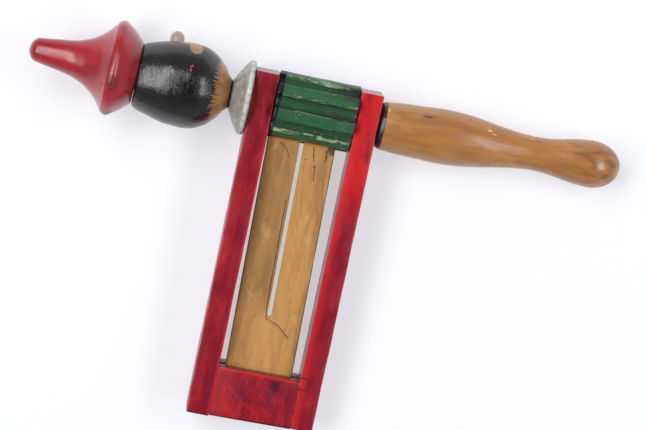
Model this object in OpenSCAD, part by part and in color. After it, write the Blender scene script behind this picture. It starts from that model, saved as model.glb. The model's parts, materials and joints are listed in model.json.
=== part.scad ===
// Wooden ratchet noisemaker, lying on a table.
//
// A straight spindle carries a turned handle, a toothed cog, a collar and a turned doll's head with a
// brimmed hat. A two-rail frame turns freely on the spindle. A slit wooden tongue, held in the frame's
// end block, rests its tip in a groove of the cog and clacks from tooth to tooth as the frame whirls.
//
// Every piece is drawn with the spindle along X, the head at -X, the handle at +X and the frame
// reaching towards -Y, with its front face at +Z. lay_spindle() and lay_frame() then set the pieces
// down on the table, z = 0, with the origin below the middle of the whole object.

/* [Frame] */
// Width of the frame across both rails
frame_w = 64; // [62:0.5:68]
// Depth of the rails and the end block, front to back
frame_d = 22; // [20:0.5:24]
// Width of the rail on the head's side
left_rail_w = 11.5; // [10:0.1:13]
// Width of the rail on the handle's side
right_rail_w = 11; // [10:0.1:13]
// How far both rails reach past the spindle
rail_top = 15.3; // [12:0.1:20]
// Distance from the spindle to the lower end of the left rail
left_rail_drop = 159.9; // [150:0.1:164]
// Distance from the spindle to the lower end of the right rail
right_rail_drop = 158.1; // [150:0.1:164]
// Distance from the spindle to the end block's inner face
block_y = 134; // [130:0.1:138]
// Width of the small chamfer along the edges of the rails and the block
edge_chamfer = 0.8; // [0.3:0.1:1.5]

/* [Tongue] */
// Width of the tongue
tongue_w = 34; // [30:0.1:36]
// Thickness of the tongue
tongue_t = 2.8; // [2.4:0.1:3]
// Width of the slit between the two reeds
slit_w = 2.1; // [1.5:0.1:3]
// Distance from the spindle to the closed end of the slit
slit_end = 105.8; // [98:0.1:110]
// How far the slit lies from the tongue's middle, towards the handle
slit_offset = 0.2; // [-0.5:0.1:0.5]
// Distance from the spindle to the tips of the reeds
tip_y = 15.4; // [15.2:0.1:15.8]
// Height of the tongue's middle above the frame's middle at the slit's closed end
tongue_z = 1.5; // [0:0.1:2]
// How far the tongue lies from the frame's middle, towards the head
tongue_shift = 0.8; // [0:0.1:1.2]
// Turn of the tongue in its own plane
tongue_skew = 1.3; // [0:0.1:1.6]
// Slope of the tongue, which lifts its tips
tongue_rise = 1.2; // [0.8:0.1:1.6]

/* [Cog and spindle] */
// Radius of the spindle
spindle_r = 4.5; // [4:0.1:5]
// Radial clearance of the spindle in the two rails
spindle_clear = 0.08; // [0.03:0.01:0.1]
// Radius of the cog over its teeth
cog_r = 16.9; // [16.8:0.1:17.2]
// Length of the cog
cog_len = 40.7; // [36:0.1:41]
// Gap between the cog and the right rail
cog_gap = 0.4; // [0.3:0.1:1]
// Number of teeth
cog_teeth = 8; // [8]
// Depth of the grooves between the teeth
groove_depth = 3.8; // [3.4:0.1:4]

/* [Handle] */
// Length of the grip, from the shoulder to the end of the knob
handle_len = 120.6; // [110:0.1:130]
// Largest radius of the grip
grip_r = 13.8; // [12.5:0.1:14.5]
// Radius of the knob at the handle's end
knob_r = 11.85; // [10.5:0.05:12.5]
// Length of the rounded shoulder at the handle's inner end
shoulder_len = 2.8; // [1:0.1:4]
// Gap between the right rail and the handle's shoulder
handle_gap = 0.6; // [0.3:0.1:1.5]
// Lean of the handle, which was bored slightly askew
handle_lean = 1.2; // [0:0.1:1.5]

/* [Head and hat] */
// Radius of the collar's rim
collar_r = 18.75; // [17:0.05:19.5]
// Length of the collar
collar_len = 10; // [8:0.1:12]
// Gap between the left rail and the collar
collar_gap = 0.35; // [0.3:0.05:1]
// Length of the head, from the collar to the hat
head_len = 47; // [44:0.1:52]
// Largest radius of the head
head_r = 21.2; // [20:0.05:22.5]
// Radius of the nose peg
nose_r = 3.5; // [3:0.1:4]
// How far the nose's tip stands past the head's largest radius
nose_out = 4.75; // [3:0.05:6]
// Angle of the nose below the horizontal
nose_dip = 17; // [10:1:25]
// Length of the hat
hat_len = 54.4; // [50:0.1:60]
// Radius of the hat's brim
brim_r = 24; // [23.5:0.1:25]
// Lean of the hat
hat_lean = 1.6; // [0:0.1:2]
// How far off the head's middle the hat is set, away from the frame
hat_shift = 0.9; // [0:0.1:1.5]

/* [Hidden] */

$fn = 64;
cut = 1;             // how far a cut runs past the face it opens
curve_steps = 3;     // straight steps between two stations of a turned outline

// Where the pieces meet along the spindle
left_face = -frame_w / 2;
right_face = frame_w / 2;
bay_left = left_face + left_rail_w;
bay_right = right_face - right_rail_w;
bay_w = bay_right - bay_left;
collar_x = left_face - collar_gap;
neck_x = collar_x - collar_len;
hat_x = neck_x - head_len;
tip_x = hat_x - hat_len;
handle_x = right_face + handle_gap + shoulder_len;
knob_at = 0.875;     // place of the knob's widest ring, as a part of the handle's length
knob_x = handle_x + knob_at * handle_len;
brim_at = 0.197;     // place of the brim's widest ring, as a part of the hat's length
brim_x = hat_x - brim_at * hat_len;
point_at = 0.908;    // where the rounded point begins, as a part of the hat's length
point_r = 6.1;
seat_cut = 10;       // depth of the cut that seats the leaning hat flat on the head

// Glued joints inside the turned pieces
spindle_in_handle = 40;
spindle_in_head = 20;
dowel_r = 4;
dowel_in_head = 12;
dowel_in_hat = 18;

// Tongue, kerf and reeds, measured from the closed end of the slit
root_len = 44;
kerf_clear = 0.1;
reed_len = slit_end - tip_y;
hinge_gap = 0.3;
slit_left = slit_offset - slit_w / 2;
slit_right = slit_offset + slit_w / 2;

// Cog: a groove faces the tips of the reeds
tip_z = tongue_z + reed_len * sin(tongue_rise);
groove_share = 25 / 45;
groove_half = groove_share * 180 / cog_teeth;
rim_in = cog_r * cos(groove_half);
rim_side = cog_r * sin(groove_half);
floor_r = cog_r - groove_depth;
groove_r = (pow(rim_in - floor_r, 2) + pow(rim_side, 2)) / (2 * (rim_in - floor_r));
peg_r = 1.75;

// Nails and brads
nail_r = 0.9;
nail_head_r = 2;
nail_head_t = 0.8;
nail_len = 27;
brad_r = 0.7;
brad_head_r = 1.2;
brad_len = 15;

// How the object lies: on the hat's brim, the knob and the right rail's lower back corner
spindle_tilt = atan((brim_r - knob_r) / (knob_x - brim_x));
spindle_z = brim_x * sin(spindle_tilt) + brim_r * cos(spindle_tilt);
corner_fall = (spindle_z - right_face * sin(spindle_tilt)) / cos(spindle_tilt);
corner_reach = norm([right_rail_drop, frame_d / 2]);
frame_pitch = asin(corner_fall / corner_reach) - atan(frame_d / 2 / right_rail_drop);
groove_angle = atan2(tip_z, -tip_y) + frame_pitch;
nose_y = (head_r + nose_out - nose_r) * cos(nose_dip) + nose_r;
brim_y = hat_shift + brim_at * hat_len * sin(hat_lean) + brim_r * cos(hat_lean);
mid_x = (tip_x + handle_x + handle_len) / 2;
mid_y = (max(nose_y, brim_y) - left_rail_drop * cos(frame_pitch)) / 2;

// Stations of the turned outlines: [part of the length, part of the largest radius]
collar_stations = [
    [0, 0.9], [0.06, 0.98], [0.16, 1], [0.28, 0.985], [0.42, 0.91], [0.65, 0.71], [0.83, 0.545],
    [1, 0.36]
];
head_stations = [
    [0, 0.325], [0.044, 0.422], [0.096, 0.603], [0.149, 0.724], [0.201, 0.824], [0.306, 0.947],
    [0.411, 0.993], [0.488, 1], [0.673, 0.963], [0.883, 0.835], [1, 0.742]
];
hat_stations = [
    [-0.03, 0.62], [0, 0.645], [0.035, 0.715], [0.081, 0.815], [0.151, 0.937], [brim_at, 1],
    [0.219, 0.996], [0.265, 0.933], [0.301, 0.808], [0.357, 0.671], [0.449, 0.51], [0.54, 0.417],
    [0.632, 0.354], [0.816, 0.288], [point_at, point_r / brim_r]
];
handle_stations = [
    [0, 0.87], [0.168, 0.97], [0.251, 1], [0.334, 0.963], [0.418, 0.859], [0.501, 0.733],
    [0.584, 0.637], [0.646, 0.615], [0.709, 0.659], [0.792, 0.785], [knob_at, knob_r / grip_r]
];

// A smooth curve through a list of stations
function station(list, i) = list[max(0, min(len(list) - 1, i))];
function between(a, b, c, d, t) =
    0.5 * (2 * b + (c - a) * t + (2 * a - 5 * b + 4 * c - d) * t * t + (3 * b - a - 3 * c + d) * t * t * t);
function smooth(list) = concat(
    [
        for (i = [0:len(list) - 2], s = [0:curve_steps - 1])
            between(station(list, i - 1), list[i], list[i + 1], station(list, i + 2), s / curve_steps)
    ],
    [list[len(list) - 1]]
);
function sized(list, length, radius) = [for (s = list) [s[0] * length, s[1] * radius]];

// A rounded end: a quarter of an ellipse from the outline's last radius down to the axis
function rounded_end(from, to, radius) = [
    for (a = [15:15:90]) [from + (to - from) * sin(a), radius * cos(a)]
];

// A solid turned about X; the outline is a list of [place along X, radius]
module turned(outline) {
    rotate([0, 90, 0])
        rotate_extrude()
            polygon([for (p = outline) [p[1], p[0]]]);
}

module rod(from, to, radius) {
    translate([from, 0, 0])
        rotate([0, 90, 0])
            cylinder(r = radius, h = to - from);
}

// The same outline facing the other way, from a place on the spindle towards the hat's point
module facing_left(x) {
    translate([x, 0, 0])
        rotate([0, 0, 180])
            children();
}

module lay_spindle() {
    translate([-mid_x, -mid_y, spindle_z])
        rotate([0, spindle_tilt, 0])
            children();
}

module lay_frame() {
    lay_spindle()
        rotate([frame_pitch, 0, 0])
            children();
}

// The tongue's own plane: origin in its middle at the closed end of the slit
module lay_tongue() {
    lay_frame()
        translate([-tongue_shift, -slit_end, tongue_z])
            rotate([tongue_rise, 0, tongue_skew])
                children();
}

// Turned pieces on the spindle

module spindle() {
    color("#6e4424")
        lay_spindle()
            difference() {
                rod(neck_x - spindle_in_head, handle_x + spindle_in_handle, spindle_r);
                cog_peg_body();
            }
}

module handle() {
    outline = concat(
        [[-shoulder_len, 0], [-shoulder_len, 0.7 * grip_r], [-0.8 * shoulder_len, 0.8 * grip_r]],
        [[-0.45 * shoulder_len, 0.85 * grip_r]],
        smooth(sized(handle_stations, handle_len, grip_r)),
        rounded_end(knob_at * handle_len, handle_len, knob_r)
    );
    color("#b5762f")
        lay_spindle()
            difference() {
                translate([handle_x, 0, 0])
                    rotate([0, 0, handle_lean])
                        turned(outline);
                rod(handle_x - shoulder_len - cut, handle_x + spindle_in_handle, spindle_r);
            }
}

module cog_peg_body() {
    translate([(bay_left + bay_right) / 2, 0, 0])
        rotate([groove_angle - 90 - 4 * 180 / cog_teeth, 0, 0])
            translate([0, 0, -floor_r + 0.4])
                cylinder(r = peg_r, h = 1.6 * floor_r);
}

module cog() {
    color("#2f6b45")
        lay_spindle()
            difference() {
                translate([bay_right - cog_gap - cog_len, 0, 0])
                    rotate([90, 0, 90])
                        linear_extrude(cog_len)
                            difference() {
                                circle(r = cog_r);
                                for (i = [0:cog_teeth - 1])
                                    rotate(groove_angle + i * 360 / cog_teeth)
                                        translate([floor_r + groove_r, 0])
                                            circle(r = groove_r);
                                circle(r = spindle_r);
                            }
                cog_peg_body();
            }
}

module cog_peg() {
    color("#8a5a30")
        lay_spindle()
            cog_peg_body();
}

module collar() {
    color("#bab5ac")
        lay_spindle()
            difference() {
                facing_left(collar_x)
                    turned(concat(
                        [[0, 0]],
                        smooth(sized(collar_stations, collar_len, collar_r)),
                        [[collar_len, 0]]
                    ));
                rod(neck_x - cut, collar_x + cut, spindle_r);
            }
}

module nose_body() {
    ball = head_r + nose_out - nose_r;
    inner = 0.55 * head_r;
    translate([hat_x + 0.34 * head_len, 0, 0])
        rotate([-90 - nose_dip, 0, 0]) {
            translate([0, 0, inner])
                cylinder(r = nose_r, h = ball - inner);
            translate([0, 0, ball])
                sphere(r = nose_r);
        }
}

module nose() {
    color("#a9743c")
        lay_spindle()
            nose_body();
}

module head() {
    color("#2b2a2f")
        lay_spindle()
            difference() {
                facing_left(neck_x)
                    turned(concat([[0, 0]], smooth(sized(head_stations, head_len, head_r)), [[head_len, 0]]));
                rod(neck_x - spindle_in_head, neck_x + cut, spindle_r);
                rod(hat_x - cut, hat_x + dowel_in_head, dowel_r);
                nose_body();
            }
}

module hat() {
    color("#b01f2e")
        lay_spindle()
            difference() {
                translate([0, hat_shift, 0])
                    facing_left(hat_x)
                        rotate([0, 0, -hat_lean])
                            turned(concat(
                                [[hat_stations[0][0] * hat_len, 0]],
                                smooth(sized(hat_stations, hat_len, brim_r)),
                                rounded_end(point_at * hat_len, hat_len, point_r)
                            ));
                translate([hat_x, -brim_r, -brim_r])
                    cube([seat_cut, 2 * brim_r, 2 * brim_r]);
                rod(hat_x - dowel_in_hat, hat_x + cut, dowel_r);
            }
}

module hat_dowel() {
    color("#c9a46a")
        lay_spindle()
            rod(hat_x - dowel_in_hat, hat_x + dowel_in_head, dowel_r);
}

// The frame

// A bar along Y with chamfered edges, from one place on X to another
module bar(x_from, x_to, y_from, y_to) {
    half = frame_d / 2;
    c = edge_chamfer;
    translate([0, y_to, 0])
        rotate([90, 0, 0])
            linear_extrude(y_to - y_from)
                polygon([
                    [x_from + c, -half], [x_to - c, -half], [x_to, c - half], [x_to, half - c],
                    [x_to - c, half], [x_from + c, half], [x_from, half - c], [x_from, c - half]
                ]);
}

module nail_body() {
    rotate([0, 90, 0]) {
        cylinder(r = nail_head_r, h = nail_head_t);
        cylinder(r = nail_r, h = nail_len);
    }
}

// Two nails through one rail into the end block, either side of the tongue
module nails_body(side) {
    for (k = [0, 1])
        translate([side < 0 ? left_face : right_face, -block_y - 8 - 9 * k, 6 - 12 * k])
            mirror([side < 0 ? 0 : 1, 0, 0])
                nail_body();
}

module left_rail() {
    color("#b3202f")
        lay_frame()
            difference() {
                bar(left_face, bay_left, -left_rail_drop, rail_top);
                rod(left_face - cut, bay_left + cut, spindle_r + spindle_clear);
                nails_body(-1);
            }
}

module right_rail() {
    color("#c6202c")
        lay_frame()
            difference() {
                bar(bay_right, right_face, -right_rail_drop, rail_top);
                rod(bay_right - cut, right_face + cut, spindle_r + spindle_clear);
                nails_body(1);
            }
}

module kerf_body() {
    depth = root_len - (block_y - slit_end);
    lay_t = tongue_t + 2 * kerf_clear;
    translate([-tongue_shift, -slit_end, tongue_z])
        rotate([tongue_rise, 0, tongue_skew])
            translate([-frame_w / 2, -root_len - kerf_clear, -lay_t / 2])
                cube([frame_w, depth + 2, lay_t]);
}

module brads_body() {
    for (side = [-1, 1])
        translate([side * 0.28 * tongue_w, -block_y - 6, -frame_d / 2]) {
            cylinder(r = brad_head_r, h = nail_head_t);
            cylinder(r = brad_r, h = brad_len);
        }
}

module end_block() {
    half = frame_d / 2;
    c = edge_chamfer;
    lower_left = -left_rail_drop + 0.6;
    lower_right = -right_rail_drop - 0.3;
    color("#a81e2d")
        lay_frame()
            difference() {
                intersection() {
                    translate([0, 0, -half])
                        linear_extrude(frame_d)
                            polygon([
                                [bay_left, lower_left], [bay_right, lower_right],
                                [bay_right, -block_y], [bay_left, -block_y]
                            ]);
                    rotate([90, 0, 90])
                        translate([0, 0, bay_left])
                            linear_extrude(bay_w)
                                polygon([
                                    [lower_left - c, -half], [-block_y - c, -half], [-block_y, c - half],
                                    [-block_y, half - c], [-block_y - c, half], [lower_left - c, half]
                                ]);
                }
                kerf_body();
                nails_body(-1);
                nails_body(1);
                brads_body();
            }
}

module left_rail_nails() {
    color("#7d7f83")
        lay_frame()
            nails_body(-1);
}

module right_rail_nails() {
    color("#7d7f83")
        lay_frame()
            nails_body(1);
}

// The tongue: one slit plank, drawn as its root and its two free reeds

module tongue_root() {
    color("#b98a4e")
        difference() {
            lay_tongue()
                translate([-tongue_w / 2, -root_len, -tongue_t / 2])
                    cube([tongue_w, root_len - hinge_gap / 2, tongue_t]);
            lay_frame()
                brads_body();
        }
}

module tongue_brads() {
    color("#7d7f83")
        lay_frame()
            brads_body();
}

module reed(x_from, x_to) {
    lay_tongue()
        translate([x_from, hinge_gap / 2, -tongue_t / 2])
            cube([x_to - x_from, reed_len - hinge_gap / 2, tongue_t]);
}

module left_reed() {
    color("#b5813f")
        reed(-tongue_w / 2, slit_left);
}

module right_reed() {
    color("#c9974f")
        reed(slit_right, tongue_w / 2);
}

handle();
spindle();
cog();
cog_peg();
collar();
head();
nose();
hat();
hat_dowel();
left_rail();
right_rail();
end_block();
left_rail_nails();
right_rail_nails();
tongue_root();
tongue_brads();
left_reed();
right_reed();
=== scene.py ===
"""A painted wooden ratchet noisemaker: its pieces, their finishes and a plain studio."""
import json
import math

import bpy
from mathutils import Matrix, Vector


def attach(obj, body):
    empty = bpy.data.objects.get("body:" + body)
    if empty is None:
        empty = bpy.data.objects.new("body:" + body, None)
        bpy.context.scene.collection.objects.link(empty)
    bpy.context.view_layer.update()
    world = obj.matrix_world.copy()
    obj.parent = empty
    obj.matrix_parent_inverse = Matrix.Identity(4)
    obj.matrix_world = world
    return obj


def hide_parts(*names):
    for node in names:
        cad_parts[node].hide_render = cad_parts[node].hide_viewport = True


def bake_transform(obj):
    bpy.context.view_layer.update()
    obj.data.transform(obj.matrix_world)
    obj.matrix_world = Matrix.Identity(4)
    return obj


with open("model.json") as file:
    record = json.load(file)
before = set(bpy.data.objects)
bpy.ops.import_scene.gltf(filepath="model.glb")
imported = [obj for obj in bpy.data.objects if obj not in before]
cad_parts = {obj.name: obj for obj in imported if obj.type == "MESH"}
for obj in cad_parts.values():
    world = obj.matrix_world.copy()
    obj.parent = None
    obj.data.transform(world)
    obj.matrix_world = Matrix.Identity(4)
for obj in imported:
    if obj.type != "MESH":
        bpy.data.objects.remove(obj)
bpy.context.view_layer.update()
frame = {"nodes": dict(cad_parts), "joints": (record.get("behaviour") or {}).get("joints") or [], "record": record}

bl_info = {
    "name": "Ratchet Noisemaker",
    "version": (1, 0, 0),
    "blender": (4, 5, 0),
    "location": "3D View > Sidebar > Noisemaker",
    "description": "Makes a painted wooden ratchet noisemaker round its packed frame",
    "category": "Add Mesh",
}

MM = 0.001
TURN = 2 * math.pi
TEETH = 8
GROOVE_HALF = math.radians(12.5)
SHOULDER = 2.8  # length of the handle's shoulder, in millimetres
GRIP = 13.8 * MM  # the grip's largest radius
BRIM = 24 * MM  # the brim's radius
NOSE_SHARE = 0.34  # how far down the head the nose stands, as a share of its length
BLOCK_SLOPE = -0.55  # how far the block's free corner follows the longer rail, as a share
SAW_PLAY = 0.12 * MM  # what the saw takes beyond the tongue's own thickness
BEND_END = 45 * MM  # where a reed's bending ends, from the slit's closed end

# Straight frames of the spindle, the whirling frame and the tongue


def joint(name):
    return next(j for j in frame["joints"] if j["name"] == name)


def mount(name):
    return next(m for m in frame["record"]["mounts"] if m["name"] == name)


def axes(origin, along, up):
    """A place whose X runs along one direction and whose Z leans as near as it can to another."""
    x = Vector(along).normalized()
    z = (Vector(up) - x * x.dot(Vector(up))).normalized()
    place = Matrix((x, z.cross(x), z)).transposed().to_4x4()
    place.translation = origin
    return place


def corners(node):
    return [Vector(v.co) for v in frame["nodes"][node].data.vertices]


def tongue_place():
    """The tongue's own plane: origin at the slit's closed end, Y towards the tips."""
    flex = joint("left_reed_flex")
    points = corners("left_reed") + corners("right_reed")
    across = Vector(flex["axis"]).normalized()
    middle = sum(points, Vector()) / len(points) - Vector(flex["pos_m"])
    return axes(flex["pos_m"], across, across.cross(middle))


SPIN = joint("frame_spin")
SPINDLE = axes(SPIN["pos_m"], -Vector(SPIN["axis"]), (0, 0, 1))
FRAME = axes(SPIN["pos_m"], -Vector(SPIN["axis"]), -Vector(mount("block_back")["axis"]))
TONGUE = tongue_place()


def extent(node, place):
    """Lowest and highest corner of a CAD node, measured in a place's own straight axes."""
    back = place.inverted()
    points = [back @ p for p in corners(node)]
    low = Vector([min(p[i] for p in points) for i in range(3)])
    high = Vector([max(p[i] for p in points) for i in range(3)])
    return low, high


def girth(node, place):
    """Largest radius of a turned CAD node about the spindle."""
    back = place.inverted()
    return max(Vector((p.y, p.z)).length for p in (back @ c for c in corners(node)))


# What a user would change


def length(name, description, millimetres):
    return bpy.props.FloatProperty(name=name, description=description, default=millimetres * MM,
                                   unit="LENGTH")


def angle(name, description, degrees):
    return bpy.props.FloatProperty(
        name=name, description=description, default=math.radians(degrees), subtype="ANGLE")


class NoisemakerSizes(bpy.types.PropertyGroup):
    """Workmanship and wear"""

    eased_edge: length("Eased edge", "Width rubbed off the edges of the rails", 0.5)
    unevenness: length("Unevenness", "How far hand work leaves a surface from true", 0.22)
    running_gap: length("Running gap", "Gap between the spindle and the rails' worn bores", 0.35)
    hat_lean: angle("Hat lean", "How far the hat leans off the spindle", 1.6)
    hat_shift: length("Hat shift", "How far off the head's middle the hat is set", 0.9)
    handle_lean: angle("Handle lean", "How far the handle leans off the spindle", 1.2)
    nose_dip: angle("Nose dip", "Angle of the nose below the horizontal", 17)
    camera_distance: length("Camera distance", "Distance from the camera to the noisemaker", 1300)
    camera_across: angle("Camera across", "Angle of the camera off the vertical, along the spindle", -1.2)
    camera_along: angle("Camera along", "Angle of the camera off the vertical, along the frame", 6.0)
    view_width: length("View width", "Width of table that the camera takes in", 322.5)


def colour_property(name, description, default):
    return bpy.props.FloatVectorProperty(
        name=name, description=description, default=default, subtype="COLOR", size=3, min=0, max=1)


class NoisemakerColours(bpy.types.PropertyGroup):
    """Paints and woods"""

    rail_red: colour_property("Rail red", "Paint of the rails and the block", (0.36, 0.009, 0.017))
    rail_deep: colour_property("Deep red", "Darker patches of the same paint", (0.24, 0.008, 0.020))
    rail_bright: colour_property("Bright red", "Where the paint is fresh and thick", (0.66, 0.014, 0.018))
    hat_red: colour_property("Hat red", "Gloss paint of the hat", (0.38, 0.008, 0.018))
    hair: colour_property("Hair", "Black gloss paint of the head", (0.004, 0.004, 0.005))
    skin: colour_property("Skin", "Ochre paint of the face", (0.40, 0.185, 0.055))
    collar: colour_property("Collar", "Grey-white paint of the collar", (0.38, 0.365, 0.32))
    green: colour_property("Cog green", "Paint of the cog", (0.022, 0.125, 0.045))
    tongue: colour_property("Tongue", "Bare wood of the tongue", (0.55, 0.285, 0.080))
    handle: colour_property("Handle", "Varnished wood of the handle", (0.45, 0.195, 0.045))
    dowel: colour_property("Dowel", "Darkened wood of the spindle", (0.20, 0.11, 0.055))
    steel: colour_property("Steel", "Dull nails and brads", (0.30, 0.30, 0.31))


def sizes():
    return bpy.context.scene.noisemaker_sizes


def colours():
    return bpy.context.scene.noisemaker_colours


# Finishes


class Finish:
    """A finish as it is mixed. Its spot is the point on the piece, in millimetres along the piece's axes."""

    def __init__(self, name, place, roughness=0.4, coat=0.0, coat_roughness=0.1, specular=0.5):
        self.material = bpy.data.materials.new(name)
        self.material.use_nodes = True
        self.tree = self.material.node_tree
        self.shader = self.tree.nodes["Principled BSDF"]
        self.shader.inputs["Roughness"].default_value = roughness
        self.shader.inputs["Coat Weight"].default_value = coat
        self.shader.inputs["Coat Roughness"].default_value = coat_roughness
        self.shader.inputs["Specular IOR Level"].default_value = specular
        mapping = self.node("ShaderNodeMapping")
        mapping.vector_type = "TEXTURE"
        mapping.inputs["Location"].default_value = place.to_translation()
        mapping.inputs["Rotation"].default_value = place.to_euler()
        mapping.inputs["Scale"].default_value = (MM, MM, MM)
        self.join(self.node("ShaderNodeTexCoord").outputs["Object"], mapping.inputs["Vector"])
        self.spot = mapping.outputs["Vector"]
        apart = self.node("ShaderNodeSeparateXYZ")
        self.join(self.spot, apart.inputs[0])
        self.x, self.y, self.z = apart.outputs

    def node(self, kind, **settings):
        made = self.tree.nodes.new(kind)
        for name, value in settings.items():
            setattr(made, name, value)
        return made

    def join(self, value, socket):
        """Feeds a socket with another node's output, or with a plain number or colour."""
        if isinstance(value, bpy.types.NodeSocket):
            self.tree.links.new(value, socket)
        elif socket.type == "RGBA":
            socket.default_value = (*value, 1)
        else:
            socket.default_value = value

    def math(self, operation, *values, clamp=False):
        made = self.node("ShaderNodeMath", operation=operation, use_clamp=clamp)
        for value, socket in zip(values, made.inputs):
            self.join(value, socket)
        return made.outputs[0]

    def add(self, *values, clamp=False):
        return self.math("ADD", *values, clamp=clamp)

    def less(self, value, taken):
        return self.math("SUBTRACT", value, taken)

    def times(self, *values):
        return self.math("MULTIPLY", *values)

    def gap(self, value, other):
        """How far apart two values are."""
        return self.math("ABSOLUTE", self.less(value, other))

    def vector(self, operation, *values, output="Vector"):
        made = self.node("ShaderNodeVectorMath", operation=operation)
        for value, socket in zip(values, made.inputs):
            self.join(value, socket)
        return made.outputs[output]

    def scale(self, vector, factor):
        made = self.node("ShaderNodeVectorMath", operation="SCALE")
        self.join(vector, made.inputs[0])
        self.join(factor, made.inputs["Scale"])
        return made.outputs["Vector"]

    def band(self, value, low, high, to_low=0.0, to_high=1.0):
        """0 below low and 1 above high, with a smooth step between them; low may be the larger."""
        made = self.node("ShaderNodeMapRange", interpolation_type="SMOOTHSTEP")
        for socket, number in zip(made.inputs, (value, low, high, to_low, to_high)):
            self.join(number, socket)
        return made.outputs[0]

    def both(self, *values):
        result = values[0]
        for value in values[1:]:
            result = self.times(result, value)
        return result

    def either(self, *values):
        result = values[0]
        for value in values[1:]:
            result = self.math("MAXIMUM", result, value)
        return result

    def noise(self, size, stretch=(1, 1, 1), detail=3.0, rough=0.55, twist=0.0, shift=0.0, at=None):
        """Cloudy noise whose blotches are about size millimetres across."""
        factors = [1 / (size * s) for s in stretch]
        moved = self.vector("MULTIPLY_ADD", at or self.spot, factors, (shift, 1.7 * shift, 2.3 * shift))
        made = self.node("ShaderNodeTexNoise")
        self.join(moved, made.inputs["Vector"])
        made.inputs["Scale"].default_value = 1.0
        made.inputs["Detail"].default_value = detail
        made.inputs["Roughness"].default_value = rough
        made.inputs["Distortion"].default_value = twist
        return made.outputs["Fac"]

    def drift(self, amount, *args, **more):
        """Noise that wanders half the amount either side of nothing."""
        return self.times(self.less(self.noise(*args, **more), 0.5), amount)

    def patches(self, low, high, *args, **more):
        """Noise cut off below low and full above high."""
        return self.band(self.noise(*args, **more), low, high)

    def hairline(self, size, stretch, width, **more):
        """Thin wandering lines: where a noise crosses its middle value."""
        away = self.gap(self.noise(size, stretch, **more), 0.5)
        return self.band(away, width, 0.25 * width)

    def mix(self, factor, first, second):
        made = self.node("ShaderNodeMix", data_type="RGBA")
        self.join(factor, made.inputs[0])
        self.join(first, made.inputs[6])
        self.join(second, made.inputs[7])
        return made.outputs[2]

    def lay(self, colour, paint, *where):
        """Lays a paint over a colour, as thickly as every pattern allows."""
        return self.mix(self.both(*where), colour, paint)

    def around(self):
        """Angle about the spindle, in degrees, from straight up towards +Y."""
        return self.times(self.math("ARCTAN2", self.y, self.z), 180 / math.pi)

    def radius(self):
        squares = self.add(self.times(self.y, self.y), self.times(self.z, self.z))
        return self.math("SQRT", squares)

    def unrolled(self, reach):
        """The turned surface laid flat: along the spindle, and round it in millimetres at one radius."""
        flat = self.node("ShaderNodeCombineXYZ")
        self.join(self.x, flat.inputs[0])
        self.join(self.times(self.around(), reach * math.pi / 180), flat.inputs[1])
        return flat.outputs[0]

    def slanted(self, angle):
        """The spot with X swung round by an angle in degrees, for strokes that run askew."""
        made = self.node("ShaderNodeVectorRotate", rotation_type="Z_AXIS")
        self.join(self.spot, made.inputs["Vector"])
        made.inputs["Angle"].default_value = math.radians(angle)
        return made.outputs[0]

    def from_line(self, start, end, spot=None):
        """Distance in millimetres from a straight stretch, in the plane of X and Y."""
        start, end = Vector((*start, 0)), Vector((*end, 0))
        flat = self.vector("MULTIPLY", spot or self.spot, (1, 1, 0))
        run = end - start
        off = self.vector("SUBTRACT", flat, start)
        share = self.vector("DOT_PRODUCT", off, run / run.length_squared, output="Value")
        foot = self.scale(tuple(run), self.add(share, 0.0, clamp=True))
        return self.vector("LENGTH", self.vector("SUBTRACT", off, foot), output="Value")

    def stroke(self, points, width, ragged=0.4, spot=None, shift=0.0):
        """A drawn line through a few points, with ragged sides."""
        away = None
        for start, end in zip(points, points[1:]):
            step = self.from_line(start, end, spot)
            away = step if away is None else self.math("MINIMUM", away, step)
        wander = self.drift(4 * ragged, 1.6, shift=shift)
        return self.band(self.add(away, wander), width, 0.3 * width)

    def blot(self, centre, reach, ragged=0.8, spot=None, shift=0.0):
        """A patch about a point, reach millimetres out each way, with a ragged rim."""
        off = self.vector("SUBTRACT", self.vector("MULTIPLY", spot or self.spot, (1, 1, 0)), (*centre, 0))
        away = self.vector("LENGTH", self.vector("DIVIDE", off, (*reach, 1)), output="Value")
        wander = self.drift(ragged, 2.2, shift=shift)
        return self.band(self.add(away, wander), 1.0, 0.75)

    def relief(self, *parts):
        """Raises the surface by the sum of (pattern, height in millimetres)."""
        total = None
        for pattern, height in parts:
            lifted = self.times(pattern, height)
            total = lifted if total is None else self.add(total, lifted)
        made = self.node("ShaderNodeBump")
        made.inputs["Strength"].default_value = 1.0
        made.inputs["Distance"].default_value = MM
        self.join(total, made.inputs["Height"])
        self.join(made.outputs["Normal"], self.shader.inputs["Normal"])

    def done(self, colour, roughness=None):
        self.join(colour, self.shader.inputs["Base Color"])
        if roughness is not None:
            self.join(roughness, self.shader.inputs["Roughness"])
        return self.material


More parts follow.
